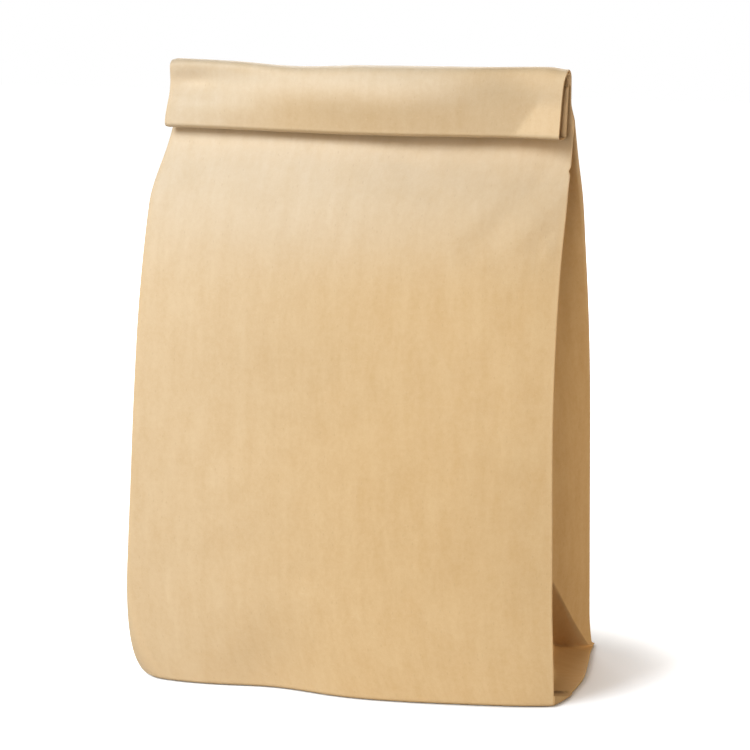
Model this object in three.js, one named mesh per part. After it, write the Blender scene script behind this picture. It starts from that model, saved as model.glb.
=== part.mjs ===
// Gusseted paper bag standing on its block bottom, its flattened top rolled down in front.
// Millimetres, +Z up, the front panel faces -Y, the origin is the middle of the base on the floor.
import * as THREE from 'three';

const { clamp, degToRad, lerp, smoothstep } = THREE.MathUtils;

// The folded sheet
const WIDTH = 220; // front panel at the base, side crease to side crease
const DEPTH = 108; // gusset along the paper, front crease to back crease
const STANDING_HEIGHT = 312; // floor to the top fold
const FOLD_RADIUS = 1.2; // rounding of a sharp fold
const FOLD_SHARE = 0.3; // most of a thin ply that this rounding takes

// The base
const BASE_LOSS = 3; // the base is this much shallower than the gusset's paper
const BASE_EDGE = 1.5; // rounding of the folded edge round the base
const BASE_BOW = 9; // the gussets' bottom edges bow outwards
const BASE_BULGE = 3; // the panels bulge this much more at the floor
const BASE_TWIST = 4; // the left side of the base stands this far forward, the right side back
const DIAGONAL_INSET = 3; // the bottom triangle's folds start this far from the creases
const SOFT_CORNER = 20; // rounding of the two left corners at the floor
const SOFT_CORNER_HEIGHT = 60; // height at which those corners are sharp again

// The standing body
const GUSSET_FOLD = 17; // the gussets' centre folds stand this far inside their creases
const GUSSET_BOW = 1.5; // each half of a gusset bows out between its folds
const FRONT_BULGE = 8; // front panel's bulge ahead of its creases
const BACK_BULGE = 7; // back panel's bulge
const BULGE_SKEW = 0.4; // the bulge is fuller to the right of the middle
const BODY_NARROWING = 3.2; // width lost on each side above the base
const BODY_SHIFT = 2.5; // the body leans to the right by this much
const SETTLE_HEIGHT = 169; // height at which width and shift have settled

// The neck
const LEAN_HEIGHT = 163; // the panels lean together over this height
const LEAN_POWER = 2; // how late the lean sets in
const NECK_DEPTH = 3.6; // what is left between the panels where they meet
const NECK_RISE = 7; // they meet this far above the roll's lower edge
const NECK_NARROWING = 7; // width lost on each side at the neck
const NECK_SHIFT = 5.6; // the neck stands to the right of the base's middle
const GATHER_HEIGHT = 43; // the creases draw in over this height

// The roll
const ROLL_HEIGHT = 36; // from the lower turn to the top fold
const ROLL_INSET = 1.5; // the roll's ends lie this far inside the neck's creases
const ROLL_PLY = 2.4; // the flattened bag, four layers of paper and the air between them
const ROLL_LEAN = degToRad(15); // the front turn stands away from the neck at its foot
const ROLL_GAP = 1.8; // air between one turn and the next under the top fold
const TURN_GAP = 3.8; // air inside the lower turn
const INNER_GAP = 5.5; // the last turn ends this much shorter than the front one
const ROLL_BOW = 6; // the roll bows forward between its ends
const ROLL_SAG = 0.5; // and hangs a little lower there

// Facets along each stretch
const PANEL_STEPS = 18;
const CORNER_STEPS = 4;
const GUSSET_STEPS = 4;
const TRIANGLE_STEPS = 3;
const TURN_STEPS = 9;

const APEX_HEIGHT = DEPTH / 2; // top of the folded triangle at the foot of each gusset
const NECK_HEIGHT = STANDING_HEIGHT - ROLL_HEIGHT + NECK_RISE;
const SHOULDER_HEIGHT = NECK_HEIGHT - LEAN_HEIGHT;
const NECK_HALF_WIDTH = WIDTH / 2 - NECK_NARROWING;

// Pythagoras on one half of a gusset: from the distance between its creases to its fold's depth, or back.
function foldedIn(open) {
  return Math.sqrt((DEPTH / 2) ** 2 - (open / 2) ** 2);
}

// Cross-section of the standing body at height z.
function bodySection(z) {
  const rise = clamp(z / APEX_HEIGHT, 0, 1);
  const open = lerp(DEPTH - BASE_LOSS, 2 * foldedIn(2 * GUSSET_FOLD), rise);
  const lean = clamp((z - SHOULDER_HEIGHT) / LEAN_HEIGHT, 0, 1) ** LEAN_POWER;
  const depth = lerp(open, NECK_DEPTH, lean);
  const bulged = depth / open;
  const low = BASE_BULGE * (1 - smoothstep(z, 0, APEX_HEIGHT));
  const lift = clamp(z / BASE_EDGE, 0, 1);
  const inset = BASE_EDGE * (1 - Math.sqrt(1 - (1 - lift) ** 2));
  const settled = smoothstep(z, 0, SETTLE_HEIGHT);
  const gathered = smoothstep(z, NECK_HEIGHT - GATHER_HEIGHT, NECK_HEIGHT);
  const soft = (1 - clamp(z / SOFT_CORNER_HEIGHT, 0, 1)) ** 2;
  const sharp = Math.min(FOLD_RADIUS, FOLD_SHARE * depth);
  return {
    centre: lerp(BODY_SHIFT * settled, NECK_SHIFT, gathered),
    halfWidth: lerp(WIDTH / 2 - BODY_NARROWING * settled, NECK_HALF_WIDTH, gathered) - inset,
    halfDepth: depth / 2 - inset,
    bulge: { front: (FRONT_BULGE + low) * bulged, back: (BACK_BULGE + low) * bulged },
    corner: { left: lerp(sharp, SOFT_CORNER, soft), right: sharp },
    recess: rise < 1 ? GUSSET_FOLD * rise : foldedIn(depth),
    triangle: 1 - rise,
    gussetBow: GUSSET_BOW * rise,
    footBow: BASE_BOW * (1 - rise) ** 2 + FOLD_RADIUS / 6,
    bow: smoothstep(z, SHOULDER_HEIGHT, NECK_HEIGHT),
    twist: BASE_TWIST * (1 - smoothstep(z, 0, NECK_HEIGHT)),
  };
}

// Cross-section of the flattened top, the same all along the roll.
function rollSection() {
  const sharp = Math.min(FOLD_RADIUS, FOLD_SHARE * ROLL_PLY);
  return {
    centre: NECK_SHIFT,
    halfWidth: NECK_HALF_WIDTH - ROLL_INSET,
    halfDepth: ROLL_PLY / 2,
    bulge: { front: 0, back: 0 },
    corner: { left: sharp, right: sharp },
    recess: 0,
    triangle: 0,
    gussetBow: 0,
    footBow: FOLD_RADIUS / 6,
    bow: 1,
    twist: 0,
  };
}

// One gusset half from its crease to the centre fold: side is -1 left or +1 right, face -1 front or +1 back.
// It runs to the edge of the bottom triangle, or to the fold above it, and then on to the middle.
function gussetHalf(section, side, face, corner) {
  const crease = section.halfDepth - corner;
  const edge = Math.max((crease - DIAGONAL_INSET) * section.triangle, Math.min(FOLD_RADIUS, crease) / 2);
  const points = [];
  for (let i = 0; i <= GUSSET_STEPS + TRIANGLE_STEPS; i += 1) {
    const t = Math.min(i / GUSSET_STEPS, 1);
    const past = Math.max(i - GUSSET_STEPS, 0) / TRIANGLE_STEPS;
    const y = lerp(lerp(crease, edge, t), 0, past);
    const bowed = section.gussetBow * 4 * t * (1 - t);
    const out = (section.footBow * (crease ** 2 - y ** 2)) / section.halfDepth ** 2;
    const x = section.halfWidth - section.recess * t + bowed + out;
    points.push([section.centre + side * x, face * y]);
  }
  return points;
}

// The rounded crease between a panel and a gusset, from the gusset round to the panel.
function creaseArc(section, side, face, corner) {
  const points = [];
  for (let i = 1; i <= CORNER_STEPS; i += 1) {
    const angle = (i / CORNER_STEPS) * (Math.PI / 2);
    const x = section.halfWidth - corner + corner * Math.cos(angle);
    const y = section.halfDepth - corner + corner * Math.sin(angle);
    points.push([section.centre + side * x, face * y]);
  }
  return points;
}

// Front (face -1) or back (face +1) half of a section, from the left centre fold to the right one.
function halfSection(section, face) {
  const { left, right } = section.corner;
  const bulge = face < 0 ? section.bulge.front : section.bulge.back;
  const panel = [];
  for (let i = 1; i < PANEL_STEPS; i += 1) {
    const u = (2 * i) / PANEL_STEPS - 1;
    const x = lerp(left - section.halfWidth, section.halfWidth - right, i / PANEL_STEPS);
    const y = section.halfDepth + bulge * (1 - u * u) * (1 + BULGE_SKEW * u);
    panel.push([section.centre + x, face * y]);
  }
  return [
    ...gussetHalf(section, -1, face, left).reverse(),
    ...creaseArc(section, -1, face, left),
    ...panel,
    ...creaseArc(section, 1, face, right).reverse(),
    ...gussetHalf(section, 1, face, right),
  ];
}

// A section set up in space: the path runs at this heading through (y, z), measured from +Y towards +Z.
function ring(section, y, z, heading) {
  const front = halfSection(section, -1);
  const back = halfSection(section, 1).slice(1, -1).reverse();
  return [...front, ...back].map(([x, n]) => {
    const u = clamp((x - section.centre) / section.halfWidth, -1, 1);
    const middle = section.bow * (1 - u * u);
    return new THREE.Vector3(
      x,
      y + n * Math.sin(heading) + section.twist * u - ROLL_BOW * middle,
      z - n * Math.cos(heading) - ROLL_SAG * middle,
    );
  });
}

// Evenly spaced values after the first, up to the last.
function after(first, last, count) {
  return Array.from({ length: count }, (_, i) => lerp(first, last, (i + 1) / count));
}

// Rings up the body from the floor to the neck.
function bodyRings() {
  const levels = [
    0,
    ...after(0, BASE_EDGE, 2),
    ...after(BASE_EDGE, APEX_HEIGHT, 7),
    ...after(APEX_HEIGHT, NECK_HEIGHT, 24),
  ];
  return levels.map((z) => ring(bodySection(z), 0, z, Math.PI / 2));
}

// Rings along the roll: up the back, over the top fold, down the front, round the lower turn and up inside.
function rollRings() {
  const section = rollSection();
  const rings = [];
  let y = 0;
  let z = NECK_HEIGHT;
  let heading = Math.PI / 2;
  function walk(length, angle, steps) {
    const bend = angle / steps;
    const chord = bend === 0 ? length / steps : 2 * (length / angle) * Math.sin(bend / 2);
    for (let i = 0; i < steps; i += 1) {
      y += chord * Math.cos(heading + bend / 2);
      z += chord * Math.sin(heading + bend / 2);
      heading += bend;
      rings.push(ring(section, y, z, heading));
    }
  }
  const topRadius = ROLL_PLY + ROLL_GAP;
  const turnRadius = (ROLL_PLY + TURN_GAP) / 2;
  const topCentre = STANDING_HEIGHT - ROLL_PLY / 2 - topRadius;
  const turnCentre = STANDING_HEIGHT - ROLL_HEIGHT + ROLL_PLY / 2 + turnRadius;
  const over = Math.PI - ROLL_LEAN;
  const fall = topCentre - turnCentre + (topRadius - turnRadius) * Math.sin(ROLL_LEAN);
  const front = fall / Math.cos(ROLL_LEAN);
  walk(topCentre - NECK_HEIGHT, 0, 4);
  walk(topRadius * over, over, TURN_STEPS);
  walk(front, 0, 4);
  walk(turnRadius * Math.PI, Math.PI, TURN_STEPS);
  walk(front - INNER_GAP, 0, 3);
  return rings;
}

// Skin over a run of rings, closed across the first and the last of them.
function loft(rings) {
  const count = rings[0].length;
  const half = count / 2;
  const positions = rings.flat().flatMap((p) => [p.x, p.y, p.z]);
  const index = [];
  for (let r = 0; r + 1 < rings.length; r += 1) {
    for (let i = 0; i < count; i += 1) {
      const a = r * count + i;
      const b = r * count + ((i + 1) % count);
      index.push(a, b, b + count, a, b + count, a + count);
    }
  }
  const last = (rings.length - 1) * count;
  for (let i = 0; i < half; i += 1) {
    const f0 = i;
    const f1 = i + 1;
    const b0 = (count - i) % count;
    const b1 = count - i - 1;
    if (b0 !== f0) {
      index.push(f0, b0, f1);
      index.push(last + f0, last + f1, last + b0);
    }
    if (b1 !== f1) {
      index.push(f1, b0, b1);
      index.push(last + f1, last + b1, last + b0);
    }
  }
  const geometry = new THREE.BufferGeometry();
  geometry.setAttribute('position', new THREE.Float32BufferAttribute(positions, 3));
  geometry.setIndex(index);
  geometry.computeVertexNormals();
  return geometry;
}

const kraft = new THREE.MeshStandardMaterial({ color: 0xd9bb90, roughness: 0.9, metalness: 0 });
const bag = new THREE.Mesh(loft([...bodyRings(), ...rollRings()]), kraft);
bag.name = 'paper_bag';

const root = new THREE.Group();
root.name = 'gusseted_paper_bag';
root.add(bag);

export default root;
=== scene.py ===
"""Dressed model of a gusseted kraft paper bag that stands closed, its flat top rolled down in front."""

import logging
import math
from dataclasses import dataclass, field
from enum import Enum
from typing import Any, Mapping, Sequence

import bpy
import numpy as np
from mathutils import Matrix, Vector


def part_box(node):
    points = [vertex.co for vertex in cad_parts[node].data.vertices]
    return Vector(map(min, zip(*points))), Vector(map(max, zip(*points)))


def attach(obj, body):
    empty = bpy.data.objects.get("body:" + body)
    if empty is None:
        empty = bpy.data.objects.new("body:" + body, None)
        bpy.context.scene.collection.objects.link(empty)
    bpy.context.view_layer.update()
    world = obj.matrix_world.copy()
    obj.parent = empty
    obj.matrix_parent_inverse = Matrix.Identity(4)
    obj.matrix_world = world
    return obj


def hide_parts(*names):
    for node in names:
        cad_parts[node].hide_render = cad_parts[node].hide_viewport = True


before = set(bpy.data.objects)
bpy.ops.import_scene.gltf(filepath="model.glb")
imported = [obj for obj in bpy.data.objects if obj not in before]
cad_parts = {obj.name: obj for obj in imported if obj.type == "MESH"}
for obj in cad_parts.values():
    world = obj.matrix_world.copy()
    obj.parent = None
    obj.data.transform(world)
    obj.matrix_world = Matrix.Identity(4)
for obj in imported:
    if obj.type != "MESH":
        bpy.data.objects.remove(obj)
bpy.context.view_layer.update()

LOG = logging.getLogger("paper_bag")
NODE = "paper_bag"
BODY = "root"
SHEET_MAP = "sheet"
CREASE = "crease"
SLACK = "slack"
PAINTED_HIGHLIGHT = "painted_highlight"
PAINTED_SHADE = "painted_shade"
CLEAR = "clear_of_bag"
GUSSET = "gusset"
METRE = 0.001
TINY = 1e-9
NOISE_MEAN = 0.5

Array = np.ndarray
Colour = tuple[float, float, float]
# Where something starts and where it ends, or its centre and its spread.
Span = tuple[float, float]

WHITE: Colour = (1.0, 1.0, 1.0)
BLACK: Colour = (0.0, 0.0, 0.0)


class Side(Enum):
    """The bag's two gusseted sides, with the sign of their X."""

    LEFT = -1
    RIGHT = 1


class Face(Enum):
    """The bag's two panels, with the sign of their Y."""

    FRONT = -1
    BACK = 1


def lerp(start: Any, end: Any, share: Any) -> Any:
    """Straight blend from start to end."""
    return start + (end - start) * share


def ease(value: Any, low: Any, high: Any) -> Any:
    """Smooth step from 0 at low to 1 at high."""
    share = np.clip((value - low) / (high - low), 0.0, 1.0)
    return share * share * (3.0 - 2.0 * share)


def swell(value: Any, centre: float, spread: float) -> Any:
    """Bell curve of height 1 round a centre."""
    return np.exp(-(((value - centre) / spread) ** 2))


def soft_cap(value: Any, soft: Any) -> Any:
    """The smaller of value and 1, rounded over a span of soft on either side.

    Args:
        value: What is capped.
        soft: Half the span of the rounding.

    Returns:
        The capped values.
    """
    rounded = value - (value - 1.0 + soft) ** 2 / (4.0 * soft)
    return np.where(value < 1.0 - soft, value, np.where(value > 1.0 + soft, 1.0, rounded))


def after(first: float, last: float, count: int) -> Array:
    """Evenly spaced values after the first, up to the last."""
    return np.linspace(first, last, count + 1)[1:]


@dataclass(frozen=True)
class Dent:
    """A soft hollow or swelling, by its place across and down, its spread and its push in millimetres."""

    across: float
    down: float
    wide: float
    tall: float
    push: float

    def at(self, across: Array, down: Array) -> Array:
        """How far it pushes the paper out, in millimetres."""
        return self.push * swell(across, self.across, self.wide) * swell(down, self.down, self.tall)


@dataclass(frozen=True)
class Bend:
    """A soft straight crease from one place to another, past which the paper turns outward."""

    start: tuple[float, float]
    end: tuple[float, float]
    slope: float
    soft: float

    def at(self, x: Array, down: Array) -> Array:
        """How far the paper stands out, in millimetres.

        Args:
            x: Places across the bag.
            down: Distances below its top.

        Returns:
            The push at each place.
        """
        run_x, run_down = self.end[0] - self.start[0], self.end[1] - self.start[1]
        off = (x - self.start[0]) * run_down - (down - self.start[1]) * run_x
        off = off / math.hypot(run_x, run_down)
        return self.slope * self.soft * np.logaddexp(0.0, off / self.soft)


@dataclass(frozen=True)
class Pull:
    """A soft slanting ridge or trough in the front, placed from the right crease and from the neck."""

    drop: float
    push: float
    slope: float = 0.85
    spread: float = 7.5
    start: Span = (16.0, 28.0)
    end: Span = (46.0, 68.0)

    def at(self, right: Array, below: Array) -> Array:
        """How far it pushes the paper out, in millimetres.

        Args:
            right: Distance from the right end of the neck.
            below: Distance below the neck.

        Returns:
            The push at each place.
        """
        along = ease(below, *self.start) * (1.0 - ease(below, *self.end))
        return self.push * along * swell(right - self.slope * (below - self.drop), 0.0, self.spread)


@dataclass(frozen=True)
class SheetSizes:
    """The folded sheet, in millimetres.

    Attributes:
        standing_height: Height of the rolled bag.
        width: Width of a panel.
        gusset: Width of a gusset laid flat.
        fold_radius: Radius of a crease.
        fold_share: The most a crease's radius may take of the depth.
        fold_take: Share of a gusset half that the rounding of its centre fold takes.
        crease_reach: How far the wear of a crease reaches.
        lap_step: Thickness of the glued lap.
        lap_place: Where the lap's edge lies, from the crease.
    """

    standing_height: float
    width: float = 220.0
    gusset: float = 108.0
    fold_radius: float = 0.7
    fold_share: float = 0.15
    fold_take: float = 0.015
    crease_reach: float = 1.5
    lap_step: float = 0.35
    lap_place: float = 16.0

    @property
    def lap_share(self) -> float:
        """Place of the glued lap's edge, as a share of a gusset half."""
        return self.lap_place / (self.gusset / 2)

    def folded_in(self, opening: Any) -> Any:
        """Depth of a gusset's centre fold for the distance between its creases, or the other way round."""
        return np.sqrt((self.gusset / 2) ** 2 - (opening / 2) ** 2)


@dataclass(frozen=True)
class BaseSizes:
    """The block bottom and the folded triangles at its ends, in millimetres."""

    loss: float = 3.0
    edge: float = 2.0
    bow: float = 8.8
    bow_skew: float = 0.35
    bulge: float = 3.0
    twist: float = 4.0
    diagonal_inset: float = 1.6
    diagonal_soft: float = 4.0
    diagonal_start: float = 0.15
    diagonal_cap: float = 0.45
    soft_corner: float = 20.0
    soft_corner_height: float = 60.0
    flare_height: float = 13.0
    flare_power: float = 1.3
    pocket: float = 16.0
    pocket_slope: float = 2.0
    pocket_soft: float = 0.15
    pocket_front: float = 0.45
    pocket_back: Span = (-25.0, 15.0)
    pocket_foot: float = 4.2
    apex_rise: float = 7.2
    flap_step: float = 0.35
    flap_overlap: float = 14.0
    flap_soft: float = 1.0
    flap_fade: float = 0.06


@dataclass(frozen=True)
class FootSizes:
    """What standing and use did to the foot, and the shade painted on it, in millimetres, with places in
    half widths and depths.
    """

    # The hollow in the front edge.
    forward: Span = (0.2, 0.9)
    hollow: float = 7.0
    hollow_height: float = 55.0
    hollow_place: Span = (-0.28, 0.26)
    # The right front toe, which stands forward and out.
    toe: float = 3.0
    toe_place: Span = (1.0, 0.3)
    toe_spread: float = 1.9
    toe_across: Span = (0.6, 1.0)
    # The left front corner, which is drawn in.
    drawn_across: float = 4.2
    drawn_back: float = 2.8
    drawn_place: Span = (-1.0, 0.16)
    drawn_front: Span = (0.3, 0.9)
    drawn_height: float = 7.0
    # The right rear heel and the ear pinched out of its corner.
    heel: float = 1.8
    heel_height: float = 22.0
    heel_across: Span = (0.7, 1.0)
    heel_back: Span = (0.3, 0.95)
    ear: float = 9.0
    ear_height: float = 4.5
    ear_across: Span = (0.9, 1.0)
    ear_back: Span = (0.82, 1.0)
    # The end of the flap that shows at the right front, and the groove over it.
    lip: float = 0.4
    lip_height: float = 5.8
    lip_length: float = 23.0
    lip_fade: float = 0.8
    lip_edge: Span = (-0.2, 0.1)
    groove: float = 2.5
    groove_rise: float = 0.6
    groove_width: float = 0.5
    groove_room: float = 1.2
    # Painted shade on the front of the right gusset's foot and on the edge of its triangle.
    front_shade: float = 0.28
    front_shade_length: float = 55.0
    front_shade_height: Span = (9.0, 18.0)
    shaded: float = 0.08
    shaded_soft: float = 3.0
    shaded_height: Span = (2.0, 4.0)


@dataclass(frozen=True)
class BodySizes:
    """The standing body between the base and the neck, in millimetres."""

    gusset_fold: float = 17.0
    gusset_bow: float = 1.5
    front_bulge: float = 8.0
    belly: float = 5.0
    belly_start: float = 150.0
    belly_height: float = 238.0
    back_bulge: float = 7.0
    skew: float = 0.4
    narrowing: float = 3.2
    shift: float = 2.5
    settle_height: float = 169.0
    lean_height: float = 163.0
    lean_power: float = 2.0
    score: float = 0.7
    score_spread: float = 2.0
    score_end: float = 0.1
    slack_away: Span = (1.0, 22.0)
    slack_height: Span = (1.0, 25.0)


@dataclass(frozen=True)
class NeckSizes:
    """The neck, where the panels meet under the roll, in millimetres."""

    depth: float = 3.6
    rise: float = 7.0
    narrowing: float = 6.7
    shift: float = 5.9
    gather_height: float = 43.0
    pinch: float = 0.15
    pinch_drop: float = 15.0
    pinch_spread: float = 16.0
    dent: float = 0.8
    dent_drop: float = 21.5
    dent_spread: float = 1.3
    dent_across: Span = (0.95, 1.0)
    dent_room: float = 7.0
    cheek: float = 0.6
    cheek_drop: float = 35.0
    cheek_spread: float = 22.0
    pulls: tuple[Pull, ...] = (Pull(29.5, 1.4), Pull(9.5, -1.2))
    crumple: Dent = Dent(5.8, 59.0, 2.4, 4.0, 1.1)


@dataclass(frozen=True)
class RollSizes:
    """The rolled top, in millimetres, with its lean in radians and its stretches of turn in half turns."""

    # How the flattened layers start at the neck and spring open at the ends.
    height: float = 36.0
    inset: float = 2.0
    inset_start: float = 12.0
    ply: float = 1.6
    ply_start: float = 8.0
    spring: float = 0.35
    spring_start: float = 10.0
    spring_loss: float = 0.8
    spring_hold: float = 0.4
    spring_power: int = 12
    # The path of the winding.
    lean: float = math.radians(15.0)
    gap: float = 2.8
    turn_gap: float = 3.8
    inner_gap: float = 2.5
    bow: float = 6.0
    sag: float = 0.5
    squash: float = 0.55
    # The stretches of the turn over which the marks set in and die away.
    over_turn: Span = (0.6, 1.2)
    front_turn: Span = (0.9, 1.3)
    under_turn: Span = (1.6, 2.2)
    inner_turn: Span = (1.7, 2.3)
    inner_push: float = 0.5
    # The front leans in at the left, and each end is longer or shorter than the neck.
    tuck: float = 5.0
    tuck_across: Span = (-0.75, 0.35)
    stand_off: float = -0.5
    stand_off_across: Span = (0.1, 0.8)
    left_end: Span = (0.85, 1.0)
    stretch: float = 1.8
    flare: float = 1.9
    flare_down: Span = (0.45, 0.9)
    right_end: Span = (0.9, 1.0)
    short: float = 1.3
    short_step: float = 0.8
    short_down: Span = (0.0, 0.18)
    long: float = 0.5
    # Wear on the turns, and how freely the roll cockles.
    turning: float = 0.01
    turn_wear: float = 0.35
    slack: float = 0.35
    slack_away: Span = (4.0, 22.0)
    # Dips of the crest, dents and swellings of the front, and its turned-out corner.
    dips: tuple[Dent, ...] = (
        Dent(-0.36, 0.0, 0.24, 16.0, -1.6),
        Dent(1.0, 0.0, 0.06, 16.0, -1.6),
        Dent(-1.0, 0.0, 0.02, 3.0, -1.0),
    )
    dents: tuple[Dent, ...] = (
        Dent(-0.88, 12.0, 0.13, 6.5, -5.0),
        Dent(-0.64, 7.0, 0.16, 5.0, -1.5),
        Dent(-0.70, 25.0, 0.22, 8.0, 2.5),
        Dent(0.12, 12.0, 0.75, 17.0, 8.0),
        Dent(0.72, 7.0, 0.16, 7.0, -2.0),
    )
    bends: tuple[Bend, ...] = (Bend((94.0, 15.0), (80.0, 36.0), 0.32, 1.5),)


@dataclass(frozen=True)
class Facets:
    """How many steps each stretch of the mesh takes, and how its points bunch by an edge."""

    panel: int = 84
    corner: int = 6
    gusset: int = 20
    lap_edge: float = 0.008
    triangle: int = 26
    triangle_bunch: float = 1.4
    cap: int = 36
    edge: int = 6
    lip: int = 22
    foot: int = 34
    body: int = 76
    dent: int = 16
    neck: int = 9
    roll: tuple[int, ...] = (12, 18, 20, 16, 10)


@dataclass(frozen=True)
class HighlightPainting:
    """Where a highlight is painted on the bag as paler, less saturated paper, by place in millimetres: most
    at the upper left.
    """

    left: float = 0.4
    left_across: Span = (-110.0, 50.0)
    top_height: Span = (195.0, 265.0)
    top_right: float = 0.7
    top_across: Span = (-40.0, 110.0)
    roll_height: Span = (272.0, 282.0)
    roll_across: Span = (-85.0, -20.0)
    roll_front: float = 0.3
    crest_height: Span = (286.0, 306.0)
    crest_left: float = 0.9
    crest_right: float = 0.4
    crest_across: Span = (30.0, 80.0)

    def at(self, points: Array) -> Array:
        """How far each point gets the painted highlight.

        Args:
            points: Places in millimetres.

        Returns:
            The share at each point, from 0 to 1.
        """
        x, z = points[..., 0], points[..., 2]
        left = self.left * (1.0 - ease(x, *self.left_across))
        top = ease(z, *self.top_height) * lerp(1.0, self.top_right, ease(x, *self.top_across))
        crest = lerp(self.crest_left, self.crest_right, ease(x, *self.crest_across))
        front = lerp(self.roll_front, crest, ease(z, *self.crest_height))
        rolled = lerp(1.0, front, ease(x, *self.roll_across))
        return lerp(left + (1.0 - left) * top, rolled, ease(z, *self.roll_height))


@dataclass(frozen=True)
class ShadePainting:
    """Where shade is painted on the front as darker paper, by place in millimetres: the roll most, the
    belly a little.
    """

    front: Span = (0.0, 8.0)
    # The belly of the front.
    belly: float = 0.45
    belly_across: Span = (-15.0, 80.0)
    belly_rise: Span = (110.0, 170.0)
    belly_fall: Span = (225.0, 255.0)
    # The front of the roll and its crest, which stays pale and climbs to the right.
    roll_height: Span = (270.0, 278.0)
    roll_left: float = 0.25
    roll_across: Span = (-75.0, -5.0)
    crest_height: Span = (288.0, 304.0)
    crest_climb: Span = (6.0, 4.0)
    climb_across: Span = (20.0, 60.0)
    crest_break: float = 0.55
    break_across: Span = (76.0, 14.0)
    # The turned-out right corner, which stays pale.
    corner_slope: float = 0.667
    corner_foot: float = 276.0
    corner_across: Span = (79.0, 83.0)
    corner_top: Span = (290.0, 300.0)
    # Painted shade on the lower edge of the roll and on its upper left.
    low_edge: float = 2.3
    low_height: Span = (277.5, 281.0)
    left_top: float = 0.6
    left_top_across: Span = (-85.0, -20.0)
    left_top_height: Span = (298.0, 305.0)
    # How strongly shade is painted at the foot: in the gap over the flap's end, on the foot's front and on
    # its triangle.
    gap: float = 6.0

    def at(self, points: Array) -> Array:
        """How far each point gets painted shade.

        Args:
            points: Places in millimetres.

        Returns:
            The strength at each point, 1 on the front of the roll.
        """
        x, y, z = points[..., 0], points[..., 1], points[..., 2]
        belly = self.belly * swell(x, *self.belly_across) * ease(z, *self.belly_rise)
        belly = belly * (1.0 - ease(z, *self.belly_fall))
        return lerp(belly, self.on_roll(x, z), ease(z, *self.roll_height)) * ease(-y, *self.front)

    def on_roll(self, x: Array, z: Array) -> Array:
        """How far each point gets painted shade if it lies on the roll, whose crest and right corner stay
        pale.

        Args:
            x: Places across the bag.
            z: Their heights.

        Returns:
            The strength at each point.
        """
        climb = ease(x, *self.climb_across)
        low, high = (start + rise * climb for start, rise in zip(self.crest_height, self.crest_climb))
        crest = ease(z, low, high) * (1.0 - self.crest_break * swell(x, *self.break_across))
        beyond = x - self.corner_slope * (z - self.corner_foot)
        corner = ease(beyond, *self.corner_across) * (1.0 - ease(z, *self.corner_top))
        painted_dark = lerp(self.roll_left, 1.0, ease(x, *self.roll_across)) * (1.0 - crest) * (1.0 - corner)
        low_edge = self.low_edge * (1.0 - ease(z, *self.low_height))
        left_top = self.left_top * (1.0 - ease(x, *self.left_top_across)) * ease(z, *self.left_top_height)
        return np.maximum(np.maximum(painted_dark, low_edge), left_top)


@dataclass
class Section:
    """Cross-sections of a run of rings, one row for each ring, in millimetres.

    Attributes:
        height: Height over the floor.
        centre: X of the middle.
        half_width: From the middle to a side's creases.
        half_depth: From the middle plane to a panel's creases.
        bulge: How far each panel swells in its middle.
        pinch: How far the panels are drawn in between their creases.
        corner: Radius of the creases on each side.
        recess: How far the gussets fold in.
        triangle: Share of the gusset that the foot triangle takes.
        gusset_bow: How far a gusset half bows out.
        foot: 1 on the body and 0 on the roll.
        score: Depth of the score line across the back.
        rolled: How far the rings follow the roll's bow, from 0 to 1.
    """

    height: Array
    centre: Array
    half_width: Array
    half_depth: Array
    bulge: dict[Face, Array]
    pinch: Array
    corner: dict[Side, Array]
    recess: Array
    triangle: Array
    gusset_bow: Array
    foot: Array
    score: Array
    rolled: Array

    def across(self, x: Array) -> Array:
        """Places across the sections in half widths, from -1 to 1."""
        return np.clip((x - self.centre) / self.half_width, -1.0, 1.0)


@dataclass
class Run:
    """A run of rings set in space.

    Attributes:
        points: Ring by ring, the places of the ring's points in millimetres.
        length: The sheet's length up to each ring.
        crease: How near each point lies to a fold, from 0 to 1.
        slack: How freely the paper may cockle at each point, from 0 to 1.
        gap: How much shade is painted on each point at the foot, from 0 to 1: in the gap over the flap's
            end, on the foot's front and on its triangle.
    """

    points: Array
    length: Array
    crease: Array
    slack: Array
    gap: Array


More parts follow.
